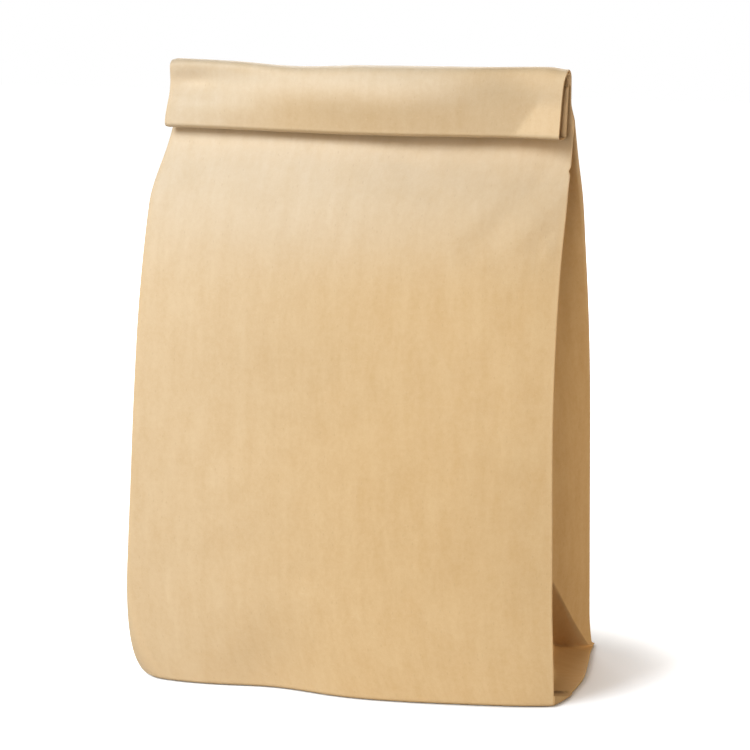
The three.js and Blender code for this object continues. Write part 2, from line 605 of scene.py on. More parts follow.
@dataclass
class PaperBag:
    """The bag: one sheet, folded to panels and gussets, with a block bottom and a rolled top."""

    sheet: SheetSizes
    base: BaseSizes = field(default_factory=BaseSizes)
    foot: FootSizes = field(default_factory=FootSizes)
    body: BodySizes = field(default_factory=BodySizes)
    neck: NeckSizes = field(default_factory=NeckSizes)
    roll: RollSizes = field(default_factory=RollSizes)
    facets: Facets = field(default_factory=Facets)
    highlight_painting: HighlightPainting = field(default_factory=HighlightPainting)
    shade_painting: ShadePainting = field(default_factory=ShadePainting)

    @property
    def apex_height(self) -> float:
        """Top of the folded triangle at the foot of each gusset."""
        return self.sheet.gusset / 2 + self.base.apex_rise

    @property
    def neck_height(self) -> float:
        """Height at which the panels meet."""
        return self.sheet.standing_height - self.roll.height + self.neck.rise

    @property
    def shoulder_height(self) -> float:
        """Height at which the panels begin to lean together."""
        return self.neck_height - self.body.lean_height

    @property
    def neck_half_width(self) -> float:
        """Half the width at the neck."""
        return self.sheet.width / 2 - self.neck.narrowing

    def panel_samples(self) -> Array:
        """Places across a panel between its creases, from -1 to 1."""
        return np.linspace(-1.0, 1.0, self.facets.panel + 1)[1:-1]

    def gusset_samples(self) -> tuple[Array, Array]:
        """Places along a gusset half.

        Returns:
            The share of the way from the crease to the edge of the bottom triangle or to the fold, and the
            share of the way from there to the middle.
        """
        lap, edge = self.sheet.lap_share, self.facets.lap_edge
        even = np.linspace(0.0, 1.0, self.facets.gusset + 1)
        along = np.sort(np.concatenate([even, [lap - edge, lap + edge]]))
        past = after(0.0, 1.0, self.facets.triangle) ** self.facets.triangle_bunch
        return (
            np.concatenate([along, np.ones_like(past)]),
            np.concatenate([np.zeros_like(along), past]),
        )

    def body_section(self, z: Array) -> Section:
        """Cross-sections of the standing body.

        Args:
            z: Heights, one row for each.

        Returns:
            The sections at those heights.
        """
        sheet, base, body, neck = self.sheet, self.base, self.body, self.neck
        rise = np.clip(z / self.apex_height, 0.0, 1.0)
        opening = lerp(sheet.gusset - base.loss, 2 * sheet.folded_in(2 * body.gusset_fold), rise)
        lean = np.clip((z - self.shoulder_height) / body.lean_height, 0.0, 1.0) ** body.lean_power
        depth = lerp(opening, neck.depth, lean)
        depth = depth * (1.0 - neck.pinch * swell(z, self.neck_height - neck.pinch_drop, neck.pinch_spread))
        low = base.bulge * (1.0 - ease(z, 0.0, self.apex_height))
        belly = body.belly * ease(z, body.belly_start, body.belly_height)
        belly = belly * (1.0 - ease(z, body.belly_height, self.neck_height))
        lift = np.clip(z / base.edge, 0.0, 1.0)
        inset = base.edge * (1.0 - np.sqrt(1.0 - (1.0 - lift) ** 2))
        settled = ease(z, 0.0, body.settle_height)
        gathered = ease(z, self.neck_height - neck.gather_height, self.neck_height)
        soft = (1.0 - np.clip(z / base.soft_corner_height, 0.0, 1.0)) ** 2
        sharp = np.minimum(sheet.fold_radius, sheet.fold_share * depth)
        cheek = neck.cheek / 2 * swell(z, self.neck_height - neck.cheek_drop, neck.cheek_spread)
        half_width = lerp(sheet.width / 2 - body.narrowing * settled, self.neck_half_width, gathered)
        return Section(
            height=z,
            centre=lerp(body.shift * settled, neck.shift, gathered) + cheek,
            half_width=half_width + cheek - inset,
            half_depth=depth / 2 - inset,
            bulge={
                Face.FRONT: (body.front_bulge + low) * depth / opening + belly,
                Face.BACK: (body.back_bulge + low) * depth / opening,
            },
            pinch=np.zeros_like(z),
            corner={Side.LEFT: lerp(sharp, base.soft_corner, soft), Side.RIGHT: sharp},
            recess=np.where(rise < 1.0, body.gusset_fold * rise, sheet.folded_in(depth)),
            triangle=1.0 - rise,
            gusset_bow=body.gusset_bow * rise,
            foot=np.ones_like(z),
            score=body.score * swell(z, self.apex_height, body.score_spread),
            rolled=ease(z, self.shoulder_height, self.neck_height),
        )

    def roll_section(self, length: Array) -> Section:
        """Cross-sections of the flattened top, whose folds spring open at the ends.

        Args:
            length: The sheet's length from the neck, one row for each ring.

        Returns:
            The sections there.
        """
        roll = self.roll
        full = np.ones_like(length)
        wound = length / length.max()
        spring = roll.spring * (1.0 - roll.spring_loss * ease(wound, roll.spring_hold, 1.0))
        spring = spring * ease(length, 0.0, roll.spring_start)
        half_depth = lerp(self.neck.depth, roll.ply, ease(length, 0.0, roll.ply_start)) / 2 + spring
        sharp = np.minimum(self.sheet.fold_radius, 2.0 * self.sheet.fold_share * half_depth)
        return Section(
            height=self.neck_height * full,
            centre=self.neck.shift * full,
            half_width=self.neck_half_width - roll.inset * ease(length, 0.0, roll.inset_start),
            half_depth=half_depth,
            bulge={Face.FRONT: 0.0 * full, Face.BACK: 0.0 * full},
            pinch=spring,
            corner={Side.LEFT: sharp, Side.RIGHT: sharp},
            recess=self.sheet.folded_in(2.0 * half_depth),
            triangle=0.0 * full,
            gusset_bow=0.0 * full,
            foot=0.0 * full,
            score=0.0 * full,
            rolled=full,
        )

    def gusset_half(self, section: Section, side: Side, face: Face) -> tuple[Array, Array]:
        """One half of a gusset, from its crease to the middle.

        Args:
            section: The cross-sections.
            side: Left or right gusset.
            face: Front or back half of it.

        Returns:
            X from the section's centre, and the distance from the middle plane.
        """
        base, foot, radius = self.base, self.foot, self.sheet.fold_radius
        along, past = self.gusset_samples()
        crease = section.half_depth - section.corner[side]
        edge = np.maximum((crease - base.diagonal_inset) * section.triangle, np.minimum(radius, crease) / 2)
        y = lerp(lerp(crease, edge, along), 0.0, past)
        run = crease - edge
        rounding = lerp(radius, base.diagonal_soft, ease(section.triangle, 0.0, base.diagonal_start))
        inward = soft_cap((crease - y) / run, np.minimum(rounding / run, base.diagonal_cap))
        below = np.maximum(self.apex_height * (1.0 - y / crease) - section.height, 0.0) * (past > 0.0)
        sunk = base.pocket * soft_cap(base.pocket_slope * below / base.pocket, base.pocket_soft)
        behind = lerp(base.pocket_front, 1.0, ease(face.value * y, *base.pocket_back))
        pocket = sunk * behind * ease(section.height, 0.0, base.pocket_foot) * (side is Side.RIGHT)
        share = (crease**2 - y**2) / section.half_depth**2
        ridge = np.maximum(base.flare_height * share, TINY / METRE)
        skew = 1.0 - face.value * base.bow_skew * y / section.half_depth
        bow = base.bow * share * skew
        flare = bow * np.clip(1.0 - section.height / ridge, 0.0, 1.0) ** base.flare_power
        bowed = section.gusset_bow * 4.0 * along * (1.0 - along)
        x = section.half_width - section.recess * inward + bowed + (flare - pocket) * section.foot
        if side is Side.LEFT and face is Face.BACK:
            lap = self.sheet.lap_step * (along < self.sheet.lap_share)
            x = x + lap * np.minimum(section.gusset_bow, 1.0)
        if side is Side.RIGHT and face is Face.FRONT:
            line, stands = self.lip_line(crease - y)
            stands = stands * section.foot
            low, high = foot.lip_edge
            lip = stands * (1.0 - ease(section.height, line + low, line + high))
            x = lerp(x, section.half_width + bow + foot.lip, lip)
            groove = swell(section.height, line + foot.groove_rise, foot.groove_width) * stands
            x = x - foot.groove * groove
        return side.value * x, y

    def lip_line(self, inward: Array) -> tuple[Array, Array]:
        """The top of the flap's end that shows at the right front foot.

        Args:
            inward: Distance from the crease along the gusset.

        Returns:
            Its height there, and how far it stands out, from 0 to 1.
        """
        line = self.foot.lip_height * (1.0 - inward / self.foot.lip_length)
        return line, ease(line, 0.0, self.foot.lip_fade)

    def slot(self, points: Array, section: Section) -> Array:
        """Marks the painted shade at the foot, from 0 to 1: a dark line in the gap over the flap's end, the
        front of the foot and its triangle.

        Args:
            points: The body's rings, before the foot settles.
            section: Their cross-sections.

        Returns:
            The mark at each point.
        """
        base, foot = self.base, self.foot
        x, y = points[..., 0], points[..., 1] - base.twist
        crease = section.half_depth - section.corner[Side.RIGHT]
        inward = crease - np.abs(y)
        line, stands = self.lip_line(inward)
        # Painted shade: a dark line in the gap over the flap's end, then the front of the foot and the edge
        # of its triangle.
        groove = swell(section.height, line + foot.groove_rise, foot.groove_width) * stands * (y < 0.0)
        front = 1.0 - ease(y, -crease, foot.front_shade_length - crease)
        front_shade = foot.front_shade * front * (1.0 - ease(section.height, *foot.front_shade_height))
        edge = (crease - base.diagonal_inset) * section.triangle
        shaded = foot.shaded * ease(edge - np.abs(y), 0.0, foot.shaded_soft)
        shaded = shaded * ease(section.height, *foot.shaded_height)
        mark = np.maximum(groove, front_shade + shaded * section.foot)
        return mark * (x > 0.0) * self.in_gusset()

    def crease_arc(self, section: Section, side: Side) -> tuple[Array, Array]:
        """The rounded crease between a gusset and a panel, after the gusset's first point.

        Args:
            section: The cross-sections.
            side: Left or right creases.

        Returns:
            X from the section's centre, and the distance from the middle plane.
        """
        corner = section.corner[side]
        angle = after(0.0, math.pi / 2, self.facets.corner)
        x = section.half_width - corner + corner * np.cos(angle)
        y = section.half_depth - corner + corner * np.sin(angle)
        return side.value * x, y

    def panel(self, section: Section, face: Face) -> tuple[Array, Array]:
        """The front or back panel between its creases.

        Args:
            section: The cross-sections.
            face: Front or back.

        Returns:
            X from the section's centre, and the distance from the middle plane.
        """
        u = self.panel_samples()
        left = section.corner[Side.LEFT] - section.half_width
        right = section.half_width - section.corner[Side.RIGHT]
        full = (1.0 - u**2) * (1.0 + self.body.skew * u)
        drawn_in = section.pinch * (1.0 - u**self.roll.spring_power)
        y = section.half_depth + section.bulge[face] * full - drawn_in
        if face is Face.BACK:
            y = y - section.score * ease(1.0 - np.abs(u), 0.0, self.body.score_end)
        return lerp(left, right, (u + 1.0) / 2), y

    def half_section(self, section: Section, face: Face) -> tuple[Array, Array]:
        """The front or back half of the sections, from the left centre fold to the right one.

        Args:
            section: The cross-sections.
            face: Front or back.

        Returns:
            X and the signed distance from the middle plane, ring by ring.
        """
        left_gusset = self.gusset_half(section, Side.LEFT, face)
        right_gusset = self.gusset_half(section, Side.RIGHT, face)
        left_arc = self.crease_arc(section, Side.LEFT)
        right_arc = self.crease_arc(section, Side.RIGHT)
        panel = self.panel(section, face)
        x, y = (
            np.concatenate(
                [
                    left_gusset[k][:, ::-1],
                    left_arc[k],
                    panel[k],
                    right_arc[k][:, ::-1],
                    right_gusset[k],
                ],
                axis=1,
            )
            for k in (0, 1)
        )
        return section.centre + x, face.value * y

    def around(self) -> Array:
        """Lays a ring out flat.

        Returns:
            The places of its points round the sheet, in millimetres from the left centre fold.
        """
        along, past = self.gusset_samples()
        half_gusset, width = self.sheet.gusset / 2, self.sheet.width
        gusset = half_gusset * lerp(along, past, self.sheet.fold_take)
        panel = width * (self.panel_samples() + 1.0) / 2
        arc = np.zeros(self.facets.corner)
        half = np.concatenate(
            [
                half_gusset - gusset[::-1],
                half_gusset + arc,
                half_gusset + panel,
                half_gusset + width + arc,
                half_gusset + width + gusset,
            ]
        )
        return np.concatenate([half, 2.0 * half[-1] - half[1:-1][::-1]])

    def from_crease(self) -> Array:
        """Measures a ring laid out flat.

        Returns:
            The distance of its points from the nearest crease or centre fold, in millimetres.
        """
        place = self.around()
        half_gusset, width = self.sheet.gusset / 2, self.sheet.width
        stretches = [half_gusset, width, half_gusset, half_gusset, width, half_gusset]
        folds = np.concatenate([[0.0], np.cumsum(stretches)])
        return np.abs(place[:, None] - folds[None, :]).min(axis=1)

    def rings(self, section: Section, y: Array, z: Array, heading: Array) -> Array:
        """The sections set up in space along a path.

        Args:
            section: The cross-sections.
            y: The path's Y at each ring, one row for each.
            z: The path's Z.
            heading: The path's direction, from +Y towards +Z.

        Returns:
            The rings' points.
        """
        front_x, front_n = self.half_section(section, Face.FRONT)
        back_x, back_n = self.half_section(section, Face.BACK)
        x = np.concatenate([front_x, back_x[:, 1:-1][:, ::-1]], axis=1)
        n = np.concatenate([front_n, back_n[:, 1:-1][:, ::-1]], axis=1)
        u = section.across(x)
        middle = section.rolled * (1.0 - u**2)
        twist = self.base.twist * (1.0 - ease(section.height, 0.0, self.neck_height))
        return np.stack(
            [
                x,
                y + n * np.sin(heading) + twist * u - self.roll.bow * middle,
                z - n * np.cos(heading) - self.roll.sag * middle,
            ],
            axis=2,
        )

    def body_levels(self) -> Array:
        """Sets the body's rings closer together round the foot's edge, its groove and the crease's dent.

        Returns:
            The rings' heights, from the floor up.
        """
        facets, neck = self.facets, self.neck_height
        dent, room = neck - self.neck.dent_drop, self.neck.dent_room
        stops = (
            (self.base.edge, facets.edge),
            (self.foot.lip_height + self.foot.groove_room, facets.lip),
            (self.apex_height, facets.foot),
            (dent - room, facets.body),
            (dent + room, facets.dent),
            (neck, facets.neck),
        )
        levels = [np.zeros(1)]
        for stop, steps in stops:
            levels.append(after(levels[-1][-1], stop, steps))
        return np.concatenate(levels)

    def body_run(self) -> Run:
        """Sets up the body.

        Returns:
            Its rings, from the floor to the neck.
        """
        z = self.body_levels()[:, None]
        section = self.body_section(z)
        points = self.rings(section, np.zeros_like(z), z, np.full_like(z, math.pi / 2))
        gap = self.slot(points, section)
        points = self.settle_foot(points, section)
        points = self.mark_handling(points, section)
        away = self.from_crease()[None, :]
        reach = self.sheet.crease_reach
        crease = np.maximum(np.exp(-away / reach) * np.ones_like(z), np.exp(-z / reach))
        slack = ease(away, *self.body.slack_away) * ease(z, *self.body.slack_height)
        return Run(points, z[:, 0], crease, slack, gap)

    def settle_foot(self, points: Array, section: Section) -> Array:
        """Shapes the foot where it stands: a hollow front edge, a drawn-in corner, toe, heel and ear.

        Args:
            points: The body's rings.
            section: Their cross-sections.

        Returns:
            The shaped rings.
        """
        foot, z = self.foot, section.height
        x, y, height = points[..., 0], points[..., 1], points[..., 2]
        u = section.across(x)
        v = np.clip(y / (self.sheet.gusset / 2), -1.0, 1.0)
        forward = ease(-v, *foot.forward)
        low = 1.0 - ease(z, 0.0, foot.hollow_height)
        hollow = foot.hollow * swell(u, *foot.hollow_place) - foot.toe * swell(u, *foot.toe_place)
        drawn = swell(u, *foot.drawn_place) * ease(-v, *foot.drawn_front) * np.exp(-z / foot.drawn_height)
        ear = ease(u, *foot.ear_across) * ease(v, *foot.ear_back) * (1.0 - ease(z, 0.0, foot.ear_height))
        toe = foot.toe_spread * ease(u, *foot.toe_across) * forward * low
        heel = foot.heel * ease(u, *foot.heel_across) * ease(v, *foot.heel_back)
        heel = heel * np.clip(1.0 - z / foot.heel_height, 0.0, 1.0) ** 2
        return np.stack(
            [
                x + foot.drawn_across * drawn + toe + heel,
                y + hollow * forward * low + foot.drawn_back * drawn + foot.ear * ear,
                height,
            ],
            axis=2,
        )

    def mark_handling(self, points: Array, section: Section) -> Array:
        """Adds what hands left near the neck: a dent in the right crease, pulls and a crumple in front.

        Args:
            points: The body's rings.
            section: Their cross-sections.

        Returns:
            The marked rings.
        """
        neck, z = self.neck, section.height
        x, y, height = points[..., 0], points[..., 1], points[..., 2]
        u = section.across(x)
        below = self.neck_height - z
        front = (y < -self.roll.bow * section.rolled * (1.0 - u**2)) * 1.0
        right = self.neck_half_width + neck.shift - x
        dent = neck.dent * swell(below, neck.dent_drop, neck.dent_spread)
        dent = dent * ease(u, *neck.dent_across) * front
        push = sum(pull.at(right, below) for pull in neck.pulls) + neck.crumple.at(right, below)
        return np.stack([x - dent, y - push * front, height], axis=2)

    def roll_path(self) -> tuple[Array, Array, Array, Array]:
        """The path up the back, over the top fold, down the front, round the lower turn and up inside.

        Returns:
            Y, Z, heading and length along the path at each ring, one row for each.
        """
        roll, standing = self.roll, self.sheet.standing_height
        top_radius = roll.ply + roll.gap
        turn_radius = (roll.ply + roll.turn_gap) / 2
        top_centre = standing - roll.ply / 2 - top_radius
        turn_centre = standing - roll.height + roll.ply / 2 + turn_radius
        over = math.pi - roll.lean
        fall = top_centre - turn_centre + (top_radius - turn_radius) * math.sin(roll.lean)
        front = fall / math.cos(roll.lean)
        legs = (
            (top_centre - self.neck_height, 0.0),
            (top_radius * over, over),
            (front, 0.0),
            (turn_radius * math.pi, math.pi),
            (front - roll.inner_gap, 0.0),
        )
        y, z, heading, length = 0.0, self.neck_height, math.pi / 2, 0.0
        stations = []
        for (leg, angle), steps in zip(legs, self.facets.roll):
            bend = angle / steps
            chord = leg / steps if angle == 0.0 else 2.0 * (leg / angle) * math.sin(bend / 2)
            for _ in range(steps):
                y += chord * math.cos(heading + bend / 2)
                z += chord * math.sin(heading + bend / 2)
                heading += bend
                length += leg / steps
                stations.append((y, z, heading, length))
        y_row, z_row, heading_row, length_row = np.array(stations).T[:, :, None]
        return y_row, z_row, heading_row, length_row

    def roll_run(self) -> Run:
        """Sets up the roll.

        Returns:
            Its rings, from the neck to the bag's mouth.
        """
        roll = self.roll
        y, z, heading, length = self.roll_path()
        section = self.roll_section(length)
        points = self.rings(section, y, z, heading)
        points = self.crumple_roll(points, section, heading)
        away = self.from_crease()[None, :]
        turning = (np.gradient(heading[:, 0]) > roll.turning)[:, None]
        near = np.exp(-away / self.sheet.crease_reach) * np.ones_like(length)
        crease = np.maximum(near, roll.turn_wear * turning)
        slack = roll.slack * ease(away, *roll.slack_away) * np.ones_like(length)
        slack = slack * (1.0 - self.in_gusset())
        return Run(points, self.neck_height + length[:, 0], crease, slack, np.zeros_like(slack))

    def in_gusset(self) -> Array:
        """1 for the ring points that lie in a gusset and 0 for those on a panel."""
        from_middle = np.abs(self.around() % self.half_perimeter() - self.half_perimeter() / 2)
        return (from_middle > self.sheet.width / 2) * 1.0

    def half_perimeter(self) -> float:
        """Half the way round the sheet."""
        return self.sheet.width + self.sheet.gusset

    def crumple_roll(self, points: Array, section: Section, heading: Array) -> Array:
        """Gives the roll its dents, its turned-out corner, its uneven ends and its flattened lower turn.

        Args:
            points: The roll's rings.
            section: Their cross-sections.
            heading: Direction of the path at each ring.

        Returns:
            The shaped rings.
        """
        roll = self.roll
        x, y, z = points[..., 0], points[..., 1], points[..., 2]
        u = section.across(x)
        down = self.sheet.standing_height - z
        share = np.clip(down / roll.height, 0.0, 1.0)
        turned = heading / math.pi
        over = ease(turned, *roll.over_turn)
        front = ease(turned, *roll.front_turn) * (1.0 - ease(turned, *roll.under_turn))
        inner = ease(turned, *roll.inner_turn)

        push = sum(dent.at(u, down) for dent in roll.dents) + sum(bend.at(x, down) for bend in roll.bends)
        tuck = roll.tuck * (1.0 - ease(u, *roll.tuck_across))
        tuck = tuck - roll.stand_off * ease(u, *roll.stand_off_across)
        left = ease(-u, *roll.left_end)
        right = ease(u, *roll.right_end)
        flare = (roll.stretch + roll.flare * ease(share, *roll.flare_down) * front) * left
        stepped = lerp(share, 1.0, roll.short_step * ease(share, *roll.short_down))
        ends = right * (roll.long * inner * share - roll.short * front * stepped)
        turn = roll.height - roll.ply - roll.turn_gap / 2
        low = np.maximum(down - turn, 0.0) * (1.0 - roll.squash) * over
        dips = sum(dip.at(u, down) for dip in roll.dips)
        return np.stack(
            [
                x - flare + ends,
                y - push * over * (1.0 - roll.inner_push * inner) + tuck * share * over,
                z + low + dips,
            ],
            axis=2,
        )

    def underside(self, rim: Array) -> tuple[Array, list[tuple[int, ...]]]:
        """The block bottom seen from below, with the steps of its folded flaps.

        Args:
            rim: The first ring, on the floor.

        Returns:
            The points inside the rim, and faces in which a rim point has its own index and a point inside
            comes after all of them.
        """
        count = len(rim)
        half = count // 2
        cap = self.facets.cap
        front = rim[1:half]
        back = rim[:half:-1]
        share = (np.arange(1, cap) / cap)[None, :, None]
        inner = lerp(front[:, None, :], back[:, None, :], share)
        x, y = inner[..., 0], inner[..., 1]
        half_width, half_depth = self.sheet.width / 2, self.sheet.gusset / 2
        base = self.base
        end = ease((half_depth - np.abs(y)) - (half_width - np.abs(x)), -base.flap_soft, base.flap_soft)
        under = ease(-y - base.flap_overlap, -base.flap_soft, base.flap_soft)
        rim_fade = ease(share[..., 0] * (1.0 - share[..., 0]), 0.0, base.flap_fade)
        # The end flaps lie above both long flaps, so they are two steps up.
        inner[..., 2] += base.flap_step * np.maximum(2.0 * end, under) * rim_fade
        columns = cap - 1
        index = count + np.arange((half - 1) * columns).reshape(half - 1, columns)
        rows = np.concatenate(
            [np.arange(1, half)[:, None], index, np.arange(count - 1, half, -1)[:, None]], axis=1
        )
        faces: list[tuple[int, ...]] = []
        for near, far in zip(rows[:-1], rows[1:]):
            faces += list(zip(near[:-1], near[1:], far[1:], far[:-1]))
        faces += [(0, b, a) for a, b in zip(rows[0][:-1], rows[0][1:])]
        faces += [(half, a, b) for a, b in zip(rows[-1][:-1], rows[-1][1:])]
        return inner.reshape(-1, 3), faces

    def rim(self) -> Array:
        """The points on which the bag stands, in metres and in order round it."""
        return self.body_run().points[0] * METRE

    def mesh(self, name: str) -> bpy.types.Mesh:
        """The whole sheet as one closed mesh, with its flat map and its marks.

        Args:
            name: Name of the mesh.

        Returns:
            The mesh, in metres.
        """
        runs = [self.body_run(), self.roll_run()]
        points = np.concatenate([run.points for run in runs])
        length = np.concatenate([run.length for run in runs])
        rings, count, _ = points.shape
        body_points = points.reshape(-1, 3)
        inner, cap_faces = self.underside(points[0])
        wall = rings * count

        ring = np.arange(rings - 1)[:, None] * count
        here = np.arange(count)[None, :]
        there = (here + 1) % count
        quads = np.stack([ring + here, ring + there, ring + there + count, ring + here + count], axis=2)
        faces = [tuple(int(i) for i in quad) for quad in quads.reshape(-1, 4)]
        shift = wall - count
        faces += [tuple(int(i) + (shift if i >= count else 0) for i in face) for face in cap_faces]
        faces.append(tuple(range(wall - count, wall)))

        mesh = bpy.data.meshes.new(name)
        mesh.from_pydata(np.concatenate([body_points, inner]) * METRE, [], faces)
        self.mark(mesh, runs, len(inner))
        self.lay_flat(mesh, points, length, quads.shape[0] * quads.shape[1])
        mesh.shade_smooth()
        mesh.validate()
        return mesh

    def mark(self, mesh: bpy.types.Mesh, runs: Sequence[Run], inner: int) -> None:
        """Stores where the folds and gussets are, where the paper is slack, and where a highlight or shade
        is painted on it.

        Args:
            mesh: The sheet's mesh.
            runs: The runs of rings in it.
            inner: How many points follow them on the underside.
        """
        inside = self.in_gusset()
        painted_dark = [self.shade_painting.at(run.points) * (1.0 - inside) for run in runs]
        for name, values in (
            (CREASE, [run.crease for run in runs]),
            (SLACK, [run.slack for run in runs]),
            (PAINTED_HIGHLIGHT, [self.highlight_painting.at(run.points) * (1.0 - inside) for run in runs]),
            (PAINTED_SHADE, [on_panel + self.shade_painting.gap * run.gap for on_panel, run in zip(painted_dark, runs)]),
            (GUSSET, [inside * np.ones_like(run.slack) for run in runs]),
        ):
            value = np.concatenate([np.concatenate(values).ravel(), np.zeros(inner)])
            mesh.attributes.new(name, "FLOAT", "POINT").data.foreach_set("value", value.astype(np.float32))

    def lay_flat(self, mesh: bpy.types.Mesh, points: Array, length: Array, walls: int) -> None:
        """Maps the sheet as it lies flat, in metres, round the bag and along its height.

        Args:
            mesh: The sheet's mesh.
            points: The rings.
            length: The sheet's length up to each ring, in millimetres.
            walls: How many faces the walls have, before those of the underside.
        """
        rings, count, _ = points.shape
        half = count // 2
        closed = np.concatenate([points, points[:, :1]], axis=1)
        gone = np.cumsum(np.linalg.norm(np.diff(closed, axis=1), axis=2), axis=1)
        gone = np.concatenate([np.zeros((rings, 1)), gone], axis=1)
        front = gone[:, : half + 1] - gone[:, half // 2, None]
        back = gone[:, half:] - gone[:, half + half // 2, None] + self.half_perimeter()
        start = np.concatenate([front[:, :-1], back[:, :-1]], axis=1)
        end = np.concatenate([front[:, 1:], back[:, 1:]], axis=1)
        along = length[:, None] * np.ones_like(start)
        wall_map = np.stack(
            [start[:-1], along[:-1], end[:-1], along[:-1], end[1:], along[1:], start[1:], along[1:]], axis=2
        ).reshape(-1, 2)
        flat = np.zeros((len(mesh.loops), 2), np.float32)
        flat[: 4 * walls] = wall_map * METRE
        vertex = np.zeros(len(mesh.loops), np.int32)
        mesh.loops.foreach_get("vertex_index", vertex)
        place_of = np.zeros(3 * len(mesh.vertices), np.float32)
        mesh.vertices.foreach_get("co", place_of)
        flat[4 * walls :] = place_of.reshape(-1, 3)[vertex[4 * walls :], :2]
        mesh.uv_layers.new(name=SHEET_MAP).data.foreach_set("uv", flat.ravel())


class Wire:
    """A node's output that takes part in sums, so that shader maths reads as plain arithmetic."""

    def __init__(self, graph: "Graph", socket: bpy.types.NodeSocket) -> None:
        """Wraps an output socket of a graph."""
        self.graph = graph
        self.socket = socket

    def other(self, output: Any) -> "Wire":
        """Another output of the same node."""
        return Wire(self.graph, self.graph.find(self.socket.node.outputs, output))

    def _sum(self, operation: str, first: Any, second: Any) -> "Wire":
        """Adds a Math node for two values."""
        return self.graph.add("ShaderNodeMath", {"operation": operation}, {0: first, 1: second})

    def __add__(self, other: Any) -> "Wire":
        """This plus other."""
        return self._sum("ADD", self, other)

    def __radd__(self, other: Any) -> "Wire":
        """Other plus this."""
        return self._sum("ADD", other, self)

    def __sub__(self, other: Any) -> "Wire":
        """This less other."""
        return self._sum("SUBTRACT", self, other)

    def __rsub__(self, other: Any) -> "Wire":
        """Other less this."""
        return self._sum("SUBTRACT", other, self)

    def __mul__(self, other: Any) -> "Wire":
        """This times other."""
        return self._sum("MULTIPLY", self, other)

    def __rmul__(self, other: Any) -> "Wire":
        """Other times this."""
        return self._sum("MULTIPLY", other, self)

    def __pow__(self, other: Any) -> "Wire":
        """This to the power of other."""
        return self._sum("POWER", self, other)

    def __gt__(self, other: Any) -> "Wire":
        """1 where this is greater than other, and 0 elsewhere."""
        return self._sum("GREATER_THAN", self, other)


class Graph:
    """A node tree that is filled by adding one node at a time."""

    def __init__(self, tree: bpy.types.NodeTree) -> None:
        """Starts on an emptied tree."""
        self.tree = tree
        tree.nodes.clear()

    def add(
        self,
        kind: str,
        settings: Mapping[str, Any] | None = None,
        sockets: Mapping[Any, Any] | None = None,
        output: Any = 0,
    ) -> Wire:
        """Adds a node.

        Args:
            kind: The node's type.
            settings: Its own settings, set first.
            sockets: Values or wires for its inputs, by place, name or identifier.
            output: The output that is handed back, by place, name or identifier.

        Returns:
            A wire from that output.
        """
        node = self.tree.nodes.new(kind)
        for name, value in (settings or {}).items():
            setattr(node, name, value)
        for key, value in (sockets or {}).items():
            socket = self.find(node.inputs, key)
            if isinstance(value, Wire):
                self.tree.links.new(value.socket, socket)
            else:
                socket.default_value = value
        return Wire(self, self.find(node.outputs, output) if node.outputs else None)

    @staticmethod
    def find(sockets: Any, key: Any) -> bpy.types.NodeSocket:
        """Finds a socket.

        Args:
            sockets: A node's inputs or outputs.
            key: Its place, identifier or name.

        Returns:
            The socket.
        """
        if isinstance(key, int):
            return sockets[key]
        return next((socket for socket in sockets if socket.identifier == key), None) or sockets[key]

    def attribute(self, name: str) -> Wire:
        """A mark stored on the mesh."""
        return self.add("ShaderNodeAttribute", {"attribute_name": name}, output="Fac")

    def blend(self, share: Any, first: Any, second: Any) -> Wire:
        """Mixes two colours.

        Args:
            share: How much of the second.
            first: Colour or wire.
            second: Colour or wire.

        Returns:
            The mixed colour.
        """
        return self.add(
            "ShaderNodeMix",
            {"data_type": "RGBA"},
            {"Factor_Float": share, "A_Color": first, "B_Color": second},
            "Result_Color",
        )

    def stretch(self, vector: Wire, scale: Sequence[float]) -> Wire:
        """A vector times a scale along each axis."""
        return self.add("ShaderNodeVectorMath", {"operation": "MULTIPLY"}, {0: vector, 1: tuple(scale)})

    def noise(self, vector: Wire, scale: float, detail: float = 2.0, rough: float = 0.5) -> Wire:
        """Smooth noise about 0.5.

        Args:
            vector: Where it is read.
            scale: How many features there are along a unit.
            detail: How many finer layers it has.
            rough: How strong those are.

        Returns:
            The noise value.
        """
        sockets = {"Vector": vector, "Scale": scale, "Detail": detail, "Roughness": rough}
        return self.add("ShaderNodeTexNoise", {"noise_dimensions": "3D"}, sockets)


def rgba(colour: Colour) -> tuple[float, float, float, float]:
    """A colour with full alpha."""
    return (*colour, 1.0)


@dataclass(frozen=True)
class Layer:
    """One layer of the paper's unevenness on the flat sheet.

    Attributes:
        scale: How many features there are along a metre.
        detail: How many finer layers it has.
        rough: How strong those are.
        tone: How much it shades the paper.
        relief: How much it raises the paper.
        stretch: What the flat map is multiplied by along each axis.
    """

    scale: float
    detail: float
    rough: float
    tone: float
    relief: float = 0.0
    stretch: tuple[float, float, float] = (1.0, 1.0, 1.0)

    def wire(self, graph: Graph, sheet: Wire) -> Wire:
        """Its noise about 0.5 in a material's graph."""
        return graph.noise(graph.stretch(sheet, self.stretch), self.scale, self.detail, self.rough)


